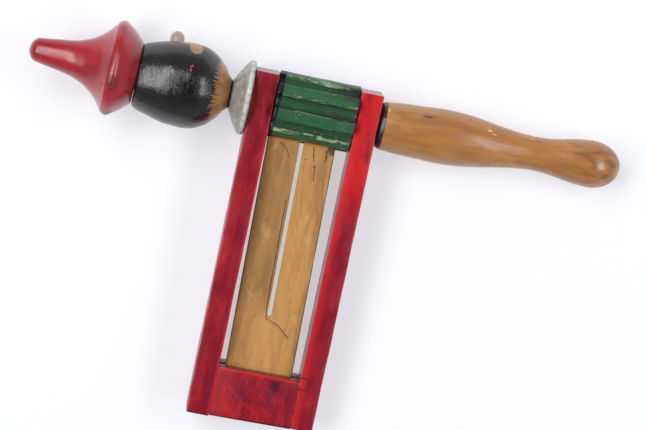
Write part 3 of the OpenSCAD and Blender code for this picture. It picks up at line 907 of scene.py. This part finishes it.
def finish(piece, place, finish_material, nodes, body=None, bend=None, smooth=40):
    """Sets a piece down in its place, gives it its finish, and hands it to its body; a piece given a bend is only
    baked in place and handed to no body.
    """
    pick_only(piece)
    piece.matrix_world = place
    bpy.ops.object.transform_apply(location=True, rotation=True, scale=True)
    bpy.ops.object.shade_smooth_by_angle(angle=math.radians(smooth))
    piece.data.materials.clear()
    piece.data.materials.append(finish_material)
    if bend:
        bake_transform(piece)
    else:
        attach(piece, body)
    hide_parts(*nodes)
    clear_selection()
    return piece


def leaning(place, at, angle):
    """A place turned about an upright axis through a point of the spindle."""
    centre = Matrix.Translation((at, 0, 0))
    return place @ centre @ Matrix.Rotation(angle, 4, "Z") @ centre.inverted()


# The pieces


class MakeRails(bpy.types.Operator):
    """Makes the two rails, bored for the spindle"""

    bl_idname = "noisemaker.make_rails"
    bl_label = "Rails"
    bl_options = {"REGISTER", "UNDO"}

    def execute(self, context):
        bore = girth("spindle", SPINDLE) + sizes().running_gap
        for side, inner, shift in (("left", 1, 3), ("right", -1, 17)):
            node = side + "_rail"
            low, high = extent(node, FRAME)
            rail = board(side + "_rail_bar", low, high, 44)
            ease_edges(rail, sizes().eased_edge)
            cut_away(rail, bar_along("bore", low.x - MM, high.x + MM, bore))
            make_uneven(rail, 9 * MM, sizes().unevenness)
            finish(rail, FRAME, rail_finish(side + "_rail_red", low, high, inner, shift),
                   [node], "frame")
        return {"FINISHED"}


class MakeBlock(bpy.types.Operator):
    """Makes the end block with its kerf for the tongue"""

    bl_idname = "noisemaker.make_block"
    bl_label = "End block"
    bl_options = {"REGISTER", "UNDO"}

    def execute(self, context):
        low, high = extent("end_block", FRAME)
        root_low, root_high = extent("tongue_root", TONGUE)
        block = board("end_block_red", low, high, 8)
        drop = (extent("left_rail", FRAME)[0].y - extent("right_rail", FRAME)[0].y) * BLOCK_SLOPE
        shift_points(block, lambda co: co.y < low.y + 0.1 * MM and co.x > 0, (0, drop, 0))
        clear_selection()
        bpy.ops.mesh.primitive_cube_add(size=1)
        saw = begin("kerf")
        saw.matrix_world = (
            FRAME.inverted() @ TONGUE
            @ Matrix.Translation((0, root_low.y + 10 * MM - SAW_PLAY, 0))
            @ Matrix.Diagonal((80 * MM, 20 * MM, root_high.z - root_low.z + 2 * SAW_PLAY, 1)))
        cut_away(block, saw)
        ease_edges(block, 0.35 * MM, segments=2)
        make_uneven(block, 9 * MM, 0.5 * sizes().unevenness)
        finish(block, FRAME, block_finish(low, high), ["end_block"], "frame")
        return {"FINISHED"}


class MakeTongue(bpy.types.Operator):
    """Makes the slit tongue: its root and the two reeds that bend"""

    bl_idname = "noisemaker.make_tongue"
    bl_label = "Tongue"
    bl_options = {"REGISTER", "UNDO"}

    def execute(self, context):
        wood = tongue_finish()
        low, high = extent("tongue_root", TONGUE)
        root = plank("tongue_foot", [
            (low.x, low.y), (high.x, low.y), (high.x, 0), (low.x, 0)], low.z, high.z)
        finish(root, TONGUE, wood, ["tongue_root"], "frame", smooth=30)
        bend_from, bend_to = TONGUE @ Vector((0, 1 * MM, 0)), TONGUE @ Vector((0, BEND_END, 0))
        slit = [extent("left_reed", TONGUE)[1].x, extent("right_reed", TONGUE)[0].x]
        centre, half = sum(slit) / 2, (slit[1] - slit[0]) / 2
        for side, sign in (("left", -1), ("right", 1)):
            node = side + "_reed"
            low, high = extent(node, TONGUE)
            outer = low.x if sign < 0 else high.x
            inner = centre + sign * half
            curve = rounded_corner((centre, half), half, 270, 270 + 90 * sign)
            outline = [(outer, 0)] + [(p.x, p.y) for p in curve] + [(inner, high.y), (outer, high.y)]
            if sign > 0:
                outline = [outline[0]] + outline[:0:-1]
            reed = plank(side + "_tongue_reed", outline, low.z, high.z)
            finish(reed, TONGUE, wood, [node], bend=("frame", node, bend_from, bend_to),
                   smooth=30)
        return {"FINISHED"}


class MakeNails(bpy.types.Operator):
    """Makes the nails through the rails and the brads through the block's back"""

    bl_idname = "noisemaker.make_nails"
    bl_label = "Nails and brads"
    bl_options = {"REGISTER", "UNDO"}

    def execute(self, context):
        steel = steel_finish()
        for node, axis in (("left_rail_nails", 0), ("right_rail_nails", 0), ("tongue_brads", 2)):
            nails = drive_nails(node, axis)
            finish(nails, FRAME, steel, [node], "frame", smooth=50)
        return {"FINISHED"}


class MakeCog(bpy.types.Operator):
    """Makes the toothed cog and the peg that fixes it"""

    bl_idname = "noisemaker.make_cog"
    bl_label = "Cog"
    bl_options = {"REGISTER", "UNDO"}

    def execute(self, context):
        low, high = extent("cog", SPINDLE)
        reach = girth("cog", SPINDLE)
        cog = toothed("green_cog", low.x, high.x, reach)
        cut_away(cog, bar_along("bore", low.x - MM, high.x + MM, girth("spindle", SPINDLE) + 0.02 * MM))
        finish(cog, SPINDLE, cog_finish(reach / MM, low / MM, high), ["cog"], "handle_set",
               smooth=32)
        peg = peg_between("cog_fixing_peg", "cog_peg")
        finish(peg, Matrix(), dowel_finish(), ["cog_peg"], "handle_set")
        return {"FINISHED"}


class MakeSpindle(bpy.types.Operator):
    """Makes the spindle and the dowel inside the hat"""

    bl_idname = "noisemaker.make_spindle"
    bl_label = "Spindle and dowel"
    bl_options = {"REGISTER", "UNDO"}

    def execute(self, context):
        wood = dowel_finish()
        for node, name in (("spindle", "spindle_bar"), ("hat_dowel", "hat_joint_dowel")):
            low, high = extent(node, SPINDLE)
            radius = girth(node, SPINDLE)
            chamfer = 0.5 * MM
            outline = [(low.x, 0), (low.x, radius - chamfer), (low.x + chamfer, radius)]
            count = max(4, round((high.x - low.x) / (6 * MM)))
            run = high.x - low.x - 2 * chamfer
            outline += [(low.x + chamfer + run * k / count, radius) for k in range(1, count + 1)]
            outline += [(high.x, radius - chamfer), (high.x, 0)]
            bar = turned(name, outline, 48)
            finish(bar, SPINDLE, wood, [node], "handle_set")
        return {"FINISHED"}


class MakeHandle(bpy.types.Operator):
    """Makes the turned handle"""

    bl_idname = "noisemaker.make_handle"
    bl_label = "Handle"
    bl_options = {"REGISTER", "UNDO"}

    STATIONS = ((0.006, 0.874), (0.06, 0.918), (0.168, 0.97), (0.251, 1), (0.334, 0.963), (0.418, 0.859),
                (0.501, 0.733), (0.584, 0.637), (0.646, 0.615), (0.709, 0.659), (0.792, 0.785),
                (0.834, 0.832), (0.875, 0.859))

    def execute(self, context):
        low, high = extent("handle", SPINDLE)
        start = low.x + SHOULDER * MM
        run = high.x - start
        stations = [(start + a * run, r * GRIP) for a, r in self.STATIONS]
        edge = [(low.x, 0), (low.x, 0.4 * GRIP), (low.x, 0.7 * GRIP), (low.x + 0.56 * MM, 0.8 * GRIP),
                (low.x + 1.54 * MM, 0.845 * GRIP), (start - 0.3 * MM, 0.862 * GRIP)]
        knob = self.STATIONS[-1]
        outline = edge + smooth_outline(stations) + rounded_end(stations[-1][0], high.x, knob[1] * GRIP, 12)
        handle = turned("turned_handle", outline)
        make_uneven(handle, 16 * MM, 0.8 * sizes().unevenness)
        place = leaning(SPINDLE, start, sizes().handle_lean)
        finish(handle, place, handle_finish(low), ["handle"], "handle_set")
        return {"FINISHED"}


class MakeCollar(bpy.types.Operator):
    """Makes the collar below the head"""

    bl_idname = "noisemaker.make_collar"
    bl_label = "Collar"
    bl_options = {"REGISTER", "UNDO"}

    STATIONS = ((0.01, 0.935), (0.06, 0.98), (0.16, 1), (0.28, 0.985), (0.42, 0.91), (0.65, 0.71),
                (0.83, 0.545), (0.95, 0.41), (1, 0.36))

    def execute(self, context):
        low, high = extent("collar", SPINDLE)
        reach = girth("collar", SPINDLE)
        run = high.x - low.x
        outline = [(high.x, 0), (high.x, 0.5 * reach), (high.x, 0.90 * reach)]
        outline += smooth_outline([(high.x - a * run, r * reach) for a, r in self.STATIONS])
        outline += [(low.x, 0)]
        collar = turned("collar_ruff", outline)
        make_uneven(collar, 5 * MM, 0.6 * sizes().unevenness)
        finish(collar, SPINDLE, collar_finish(low), ["collar"], "handle_set", smooth=35)
        return {"FINISHED"}


class MakeHead(bpy.types.Operator):
    """Makes the turned head and its nose peg"""

    bl_idname = "noisemaker.make_head"
    bl_label = "Head and nose"
    bl_options = {"REGISTER", "UNDO"}

    STATIONS = ((0, 0.325), (0.044, 0.422), (0.096, 0.603), (0.149, 0.724), (0.201, 0.824), (0.306, 0.947),
                (0.411, 0.993), (0.488, 1), (0.673, 0.963), (0.883, 0.835), (0.975, 0.762), (1, 0.69))

    def execute(self, context):
        low, high = extent("head", SPINDLE)
        reach, run = girth("head", SPINDLE), high.x - low.x
        stations = [(high.x - a * run, r * reach) for a, r in self.STATIONS]
        outline = [(high.x, 0)] + smooth_outline(stations) + [(low.x, 0.4 * reach), (low.x, 0)]
        head = turned("doll_head", outline)
        make_uneven(head, 18 * MM, sizes().unevenness)
        finish(head, SPINDLE, head_finish(low, high), ["head"], "handle_set")
        self.make_nose(low, run)
        return {"FINISHED"}

    def make_nose(self, low, run):
        """The peg is turned about X, then swung round to stand out of the face."""
        radius, inner = 3.5 * MM, 0.55 * girth("head", SPINDLE)
        tip = girth("nose", SPINDLE)
        outline = [(inner, 0), (inner, radius * 0.8), (inner + 0.6 * MM, radius)]
        outline += [(inner + (tip - radius - inner) * k / 4, radius) for k in range(1, 5)]
        outline += rounded_end(tip - radius, tip, radius)
        nose = turned("nose_peg", outline, 40)
        make_uneven(nose, 3 * MM, 0.12 * MM)
        across = Matrix.Translation((low.x + NOSE_SHARE * run, 0, 0))
        swing = Matrix.Rotation(-sizes().nose_dip, 4, "X") @ Matrix.Rotation(math.pi / 2, 4, "Z")
        finish(nose, SPINDLE @ across @ swing, nose_finish(), ["nose"], "handle_set")


class MakeHat(bpy.types.Operator):
    """Makes the brimmed hat with its long point"""

    bl_idname = "noisemaker.make_hat"
    bl_label = "Hat"
    bl_options = {"REGISTER", "UNDO"}

    STATIONS = ((0.004, 0.648), (0.035, 0.715), (0.081, 0.815), (0.151, 0.937), (0.197, 1), (0.222, 0.994),
                (0.248, 0.968), (0.260, 0.945), (0.264, 0.928))
    CONE = ((0.266, 0.914), (0.301, 0.808), (0.357, 0.671), (0.449, 0.51), (0.54, 0.417), (0.632, 0.354),
            (0.816, 0.288), (0.908, 0.254))

    def execute(self, context):
        low, high = extent("hat", SPINDLE)
        run = high.x - low.x
        lower = [(high.x - a * run, r * BRIM) for a, r in self.STATIONS]
        upper = [(high.x - a * run, r * BRIM) for a, r in self.CONE]
        outline = [(high.x, 0), (high.x, 0.3 * BRIM), (high.x, 0.63 * BRIM)] + smooth_outline(lower)
        outline += smooth_outline(upper) + rounded_end(upper[-1][0], low.x, upper[-1][1], 10)
        hat = turned("pointed_hat", outline)
        make_uneven(hat, 15 * MM, sizes().unevenness)
        place = leaning(SPINDLE @ Matrix.Translation((0, sizes().hat_shift, 0)), high.x, -sizes().hat_lean)
        finish(hat, place, hat_finish(high), ["hat"], "handle_set", smooth=38)
        return {"FINISHED"}


def plank(name, outline, low, high):
    """A thin board: its outline is drawn in the tongue's plane, filled and pulled up to its thickness."""
    piece = traced(name, [(p[0], p[1], low) for p in outline])
    bpy.ops.mesh.edge_face_add()
    bpy.ops.mesh.extrude_region_move(TRANSFORM_OT_translate={"value": (0, 0, high - low)})
    ys = [p[1] for p in outline]
    start, end = min(ys), max(ys)
    count = round((end - start) / (2 * MM))
    for k in range(1, count):
        bpy.ops.mesh.select_all(action="SELECT")
        bpy.ops.mesh.bisect(plane_co=(0, start + (end - start) * k / count, 0), plane_no=(0, 1, 0))
    close_up()
    return piece


def groove_phase():
    """Angle, from +Y towards +Z, of the groove in which the tongue's tips rest."""
    tip = SPINDLE.inverted() @ (TONGUE @ Vector((0, extent("left_reed", TONGUE)[1].y, 0)))
    return math.atan2(tip.z, tip.y)


def toothed(name, start, end, reach):
    """The cog: one tooth and groove are drawn, copied round, filled and pulled out to the cog's length."""
    groove_half, phase = GROOVE_HALF, groove_phase()
    depth = 3.8 * MM
    rim_in, rim_side = reach * math.cos(groove_half), reach * math.sin(groove_half)
    floor = reach - depth
    bowl = ((rim_in - floor) ** 2 + rim_side ** 2) / (2 * (rim_in - floor))
    sweep = math.atan2(rim_side, floor + bowl - rim_in)
    groove = [(floor + bowl - bowl * math.cos(a), bowl * math.sin(a))
              for a in [sweep * k / 6 for k in range(-6, 7)]]
    pitch = TURN / TEETH
    land = [(reach * math.cos(a), reach * math.sin(a))
            for a in [groove_half + (pitch - 2 * groove_half) * k / 6 for k in range(1, 6)]]
    tooth = groove + land + [(groove[0][0] * math.cos(pitch) - groove[0][1] * math.sin(pitch),
                              groove[0][0] * math.sin(pitch) + groove[0][1] * math.cos(pitch))]
    spun = [(x * math.cos(phase) - y * math.sin(phase), x * math.sin(phase) + y * math.cos(phase)) for x,
            y in tooth]
    clear_selection()
    bpy.ops.mesh.primitive_plane_add(size=0.1 * MM, location=(start, *spun[0]))
    piece = begin(name)
    bpy.ops.object.mode_set(mode="EDIT")
    bpy.ops.mesh.merge(type="CENTER")
    for here, there in zip(spun, spun[1:]):
        bpy.ops.mesh.extrude_vertices_move(
            TRANSFORM_OT_translate={"value": (0, there[0] - here[0], there[1] - here[1])})
    bpy.ops.mesh.select_all(action="SELECT")
    bpy.ops.mesh.spin(steps=TEETH, angle=TURN, center=(0, 0, 0), axis=(1, 0, 0), dupli=True)
    bpy.ops.mesh.select_all(action="SELECT")
    bpy.ops.mesh.remove_doubles(threshold=0.01 * MM)
    bpy.ops.mesh.edge_face_add()
    bpy.ops.mesh.extrude_region_move(TRANSFORM_OT_translate={"value": (end - start, 0, 0)})
    for k in range(1, 20):
        bpy.ops.mesh.select_all(action="SELECT")
        bpy.ops.mesh.bisect(plane_co=(start + (end - start) * k / 20, 0, 0), plane_no=(1, 0, 0))
    close_up()
    ease_edges(piece, 0.45 * MM, segments=2, angle=40)
    make_uneven(piece, 4 * MM, 0.22 * MM)
    return piece


def drive_nails(node, axis):
    """Round-headed nails along one axis of the frame, one for each solid of the node."""
    low, high = extent(node, FRAME)
    back = FRAME.inverted()
    points = [back @ p for p in corners(node)]
    side = 1 if (low + high)[axis] > 0 else -1
    face = high[axis] if side > 0 else low[axis]
    heads = [p for p in points if abs(p[axis] - face) < 0.01 * MM]
    other = 0 if axis == 2 else 1
    middle = sum((p[other] for p in heads), 0.0) / len(heads)
    nails = []
    for group in ([p for p in heads if p[other] < middle], [p for p in heads if p[other] >= middle]):
        centre = sum(group, Vector()) / len(group)
        radius = max(abs(p[other] - centre[other]) for p in group)
        length = high[axis] - low[axis]
        outline = [(0, 0), (0.05 * MM, 0.5 * radius), (0.18 * MM, 0.85 * radius), (0.4 * MM, radius),
                   (0.8 * MM, radius), (0.82 * MM, 0.45 * radius), (length - 1.5 * radius, 0.45 * radius),
                   (length, 0)]
        nail = turned(node + "_nail", outline, 24)
        if axis == 2:
            turn = Matrix.Rotation(-math.pi / 2, 4, "Y")
        else:
            turn = Matrix.Rotation(math.pi if side > 0 else 0, 4, "Z")
        nail.matrix_world = Matrix.Translation(centre) @ turn
        bpy.ops.object.transform_apply(location=True, rotation=True, scale=True)
        nails.append(nail)
    clear_selection()
    for nail in nails:
        nail.select_set(True)
    bpy.context.view_layer.objects.active = nails[0]
    bpy.ops.object.join()
    nails[0].name = nails[0].data.name = node.replace("nails", "nail_pair").replace("brads", "brad_pair")
    return nails[0]


def peg_between(name, node):
    """A short round peg in the place of a CAD peg, whatever way it points."""
    points = corners(node)
    middle = sum(points, Vector()) / len(points)
    far = max(points, key=lambda p: (p - middle).length)
    cap = [p for p in points if (p - far).length < 4 * MM]
    near = [p for p in points if (p - far).length > 12 * MM]
    top, bottom = sum(cap, Vector()) / len(cap), sum(near, Vector()) / len(near)
    radius = max((p - top).cross((bottom - top).normalized()).length for p in cap)
    length = (bottom - top).length
    outline = [(0, 0), (0, radius - 0.3 * MM), (0.3 * MM, radius)]
    outline += [(length * k / 5, radius) for k in range(1, 5)]
    outline += [(length - 0.3 * MM, radius), (length, radius - 0.3 * MM), (length, 0)]
    peg = turned(name, outline, 32)
    pick_only(peg)
    peg.matrix_world = axes(top, bottom - top, (1, 0, 0))
    bpy.ops.object.transform_apply(location=True, rotation=True, scale=True)
    return peg


# The studio


class SetStage(bpy.types.Operator):
    """Lays the pale table, hangs the soft lights and sets up the camera"""

    bl_idname = "noisemaker.set_stage"
    bl_label = "Stage"
    bl_options = {"REGISTER", "UNDO"}

    def execute(self, context):
        self.lay_table()
        self.light_room()
        self.hang_lights()
        self.set_camera()
        return {"FINISHED"}

    def lay_table(self):
        clear_selection()
        bpy.ops.mesh.primitive_plane_add(size=6, location=(0, 0, 0))
        table = bpy.context.object
        table.name = "table_top"
        paper = bpy.data.materials.new("pale_paper")
        paper.use_nodes = True
        shader = paper.node_tree.nodes["Principled BSDF"]
        shader.inputs["Base Color"].default_value = (0.46, 0.46, 0.48, 1)
        shader.inputs["Roughness"].default_value = 0.9
        shader.inputs["Specular IOR Level"].default_value = 0.1
        shader.inputs["Emission Color"].default_value = (0.945, 0.96, 1.0, 1)
        shader.inputs["Emission Strength"].default_value = 0.545
        table.data.materials.append(paper)

    def light_room(self):
        """White walls all round, dimmer straight above."""
        world = bpy.data.worlds.new("white_room")
        bpy.context.scene.world = world
        world.use_nodes = True
        nodes, links = world.node_tree.nodes, world.node_tree.links
        coords = nodes.new("ShaderNodeTexCoord")
        apart = nodes.new("ShaderNodeSeparateXYZ")
        height = nodes.new("ShaderNodeMapRange")
        shade = nodes.new("ShaderNodeMix")
        shade.data_type = "RGBA"
        links.new(coords.outputs["Generated"], apart.inputs[0])
        links.new(apart.outputs["Z"], height.inputs["Value"])
        height.inputs["From Min"].default_value = 0.45
        height.inputs["From Max"].default_value = 0.95
        links.new(height.outputs[0], shade.inputs[0])
        shade.inputs[6].default_value = (0.50, 0.50, 0.53, 1)
        shade.inputs[7].default_value = (0.07, 0.07, 0.08, 1)
        background = nodes["Background"]
        links.new(shade.outputs[2], background.inputs["Color"])
        background.inputs["Strength"].default_value = 0.72

    def hang_lights(self):
        """Two soft boxes, either side of the camera."""
        target = Vector((0, 0.05, 0.02))
        for name, lean, forward, breadth, width, brightness in (
                ("left_softbox", -31, 8, 1.30, 0.42, 6.2), ("right_softbox", 42, 7, 0.85, 0.26, 7.4)):
            data = bpy.data.lights.new(name, "AREA")
            data.shape = "RECTANGLE"
            data.size, data.size_y = breadth, width
            data.energy = brightness * math.pi * data.size * data.size_y
            data.color = (0.97, 0.97, 1.0)
            lamp = bpy.data.objects.new(name, data)
            bpy.context.scene.collection.objects.link(lamp)
            across, along = math.radians(lean), math.radians(forward)
            toward = Vector((math.sin(across), math.sin(along), math.cos(across))).normalized()
            lamp.location = target + 1.1 * toward
            lamp.rotation_euler = toward.to_track_quat("Z", "Y").to_euler()

    def set_camera(self):
        s = sizes()
        aim = FRAME @ Vector((15.1 * MM, -50.1 * MM, 0))
        away = Vector((math.tan(s.camera_across), math.tan(s.camera_along), 1)).normalized()
        roll = math.radians(11.9)
        right = Vector((math.cos(roll), math.sin(roll), 0))
        right = (right - away * right.dot(away)).normalized()
        data = bpy.data.cameras.new("camera")
        data.sensor_width = 36
        data.lens = data.sensor_width * s.camera_distance / s.view_width
        data.clip_end = 20
        camera = bpy.data.objects.new("camera", data)
        bpy.context.scene.collection.objects.link(camera)
        place = Matrix((right, away.cross(right), away)).transposed().to_4x4()
        place.translation = aim + s.camera_distance * away
        camera.matrix_world = place
        bpy.context.scene.camera = camera
        bpy.context.scene.view_settings.view_transform = "Standard"


STEPS = (MakeRails, MakeBlock, MakeTongue, MakeNails, MakeCog, MakeSpindle, MakeHandle, MakeCollar,
         MakeHead, MakeHat, SetStage)


class NoisemakerPanel(bpy.types.Panel):
    """Lists the steps that make the noisemaker"""

    bl_idname = "VIEW3D_PT_noisemaker"
    bl_label = "Noisemaker"
    bl_space_type = "VIEW_3D"
    bl_region_type = "UI"
    bl_category = "Noisemaker"

    def draw(self, context):
        for step in STEPS:
            self.layout.operator(step.bl_idname, text=step.bl_label)
        for group in (context.scene.noisemaker_sizes, context.scene.noisemaker_colours):
            box = self.layout.box()
            for name in group.bl_rna.properties.keys():
                if name not in ("rna_type", "name"):
                    box.prop(group, name)


CLASSES = (NoisemakerSizes, NoisemakerColours, *STEPS, NoisemakerPanel)


def register():
    for cls in CLASSES:
        bpy.utils.register_class(cls)
    bpy.types.Scene.noisemaker_sizes = bpy.props.PointerProperty(type=NoisemakerSizes)
    bpy.types.Scene.noisemaker_colours = bpy.props.PointerProperty(type=NoisemakerColours)


def unregister():
    del bpy.types.Scene.noisemaker_sizes
    del bpy.types.Scene.noisemaker_colours
    for cls in reversed(CLASSES):
        bpy.utils.unregister_class(cls)


def main():
    register()
    for step in STEPS:
        group, name = step.bl_idname.split(".")
        getattr(getattr(bpy.ops, group), name)()


if __name__ == "__main__":
    main()
